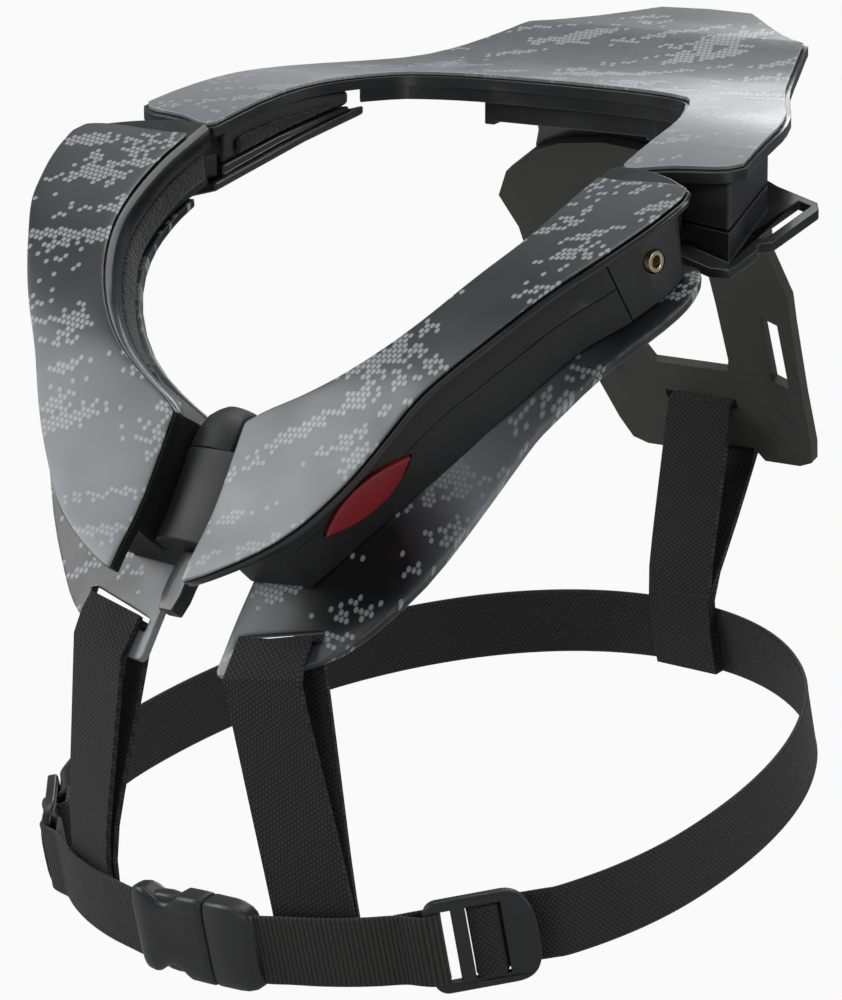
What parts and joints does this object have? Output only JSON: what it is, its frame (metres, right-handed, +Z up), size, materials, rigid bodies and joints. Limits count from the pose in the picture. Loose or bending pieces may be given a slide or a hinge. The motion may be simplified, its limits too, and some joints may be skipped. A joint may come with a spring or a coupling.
{
  "type": "motocross neck brace",
  "caption": "Neck brace for motocross: hinged front halves and a rear table round an open neck hollow, with a back plate and a webbing chest harness.",
  "frame": {"origin": "middle of the neck opening, level with the hinges' foot, where the brace sits round the neck", "axes": "+X to the wearer's left, -Y to the wearer's front, +Z up"},
  "size_m": [0.2904, 0.298, 0.3049],
  "materials": {
    "print": "satin printed grey fade with lighter dots",
    "shell": "semi-gloss black",
    "core": "fine-grained black",
    "pad": "black loop pile",
    "back": "matte warm black",
    "webbing": "black woven webbing",
    "hardware": "black moulded plastic",
    "button": "dark red, semi-gloss",
    "pin": "polished"
  },
  "bodies": {
    "brace": {"rear_table_print": "print", "rear_shell": "shell", "back_bracket": "shell", "back_tongue": "shell", "back_plate": "back", "arm_block_left": "core", "arm_pad_left": "pad", "arm_base_plate_left": "shell", "hinge_link_left": "core", "hinge_block_left": "core", "hinge_pin_left": "pin", "front_print_left": "print", "front_shell_left": "shell", "front_pad_left": "pad", "front_base_plate_left": "print", "front_strap_left": "webbing", "core_upper_left": "core", "core_lower_left": "core", "arm_block_right": "core", "arm_pad_right": "pad", "arm_base_plate_right": "shell", "hinge_link_right": "core", "hinge_block_right": "core", "hinge_pin_right": "pin", "front_print_right": "print", "front_shell_right": "shell", "front_pad_right": "pad", "front_base_plate_right": "print", "front_strap_right": "webbing", "core_upper_right": "core", "core_lower_right": "core", "latch_cover": "core", "latch_head": "core", "latch_knob": "hardware", "latch_bar": "shell", "back_screw": "pin", "rear_strap": "webbing", "chest_strap_near": "webbing", "chest_strap_far": "webbing", "chest_strap_rear": "webbing", "ladder_lock_near": "hardware", "ladder_lock_far": "hardware", "buckle_plug": "hardware", "buckle_socket": "hardware"},
    "button": {"release_button": "button"}
  },
  "joints": [
    {"name": "release_press", "type": "slide", "parent": "brace", "child": "button", "axis": [-0.7569, 0.3922, 0.5228], "range_m": [0, 0.0025], "stiffness_N_per_m": 800}
  ]
}
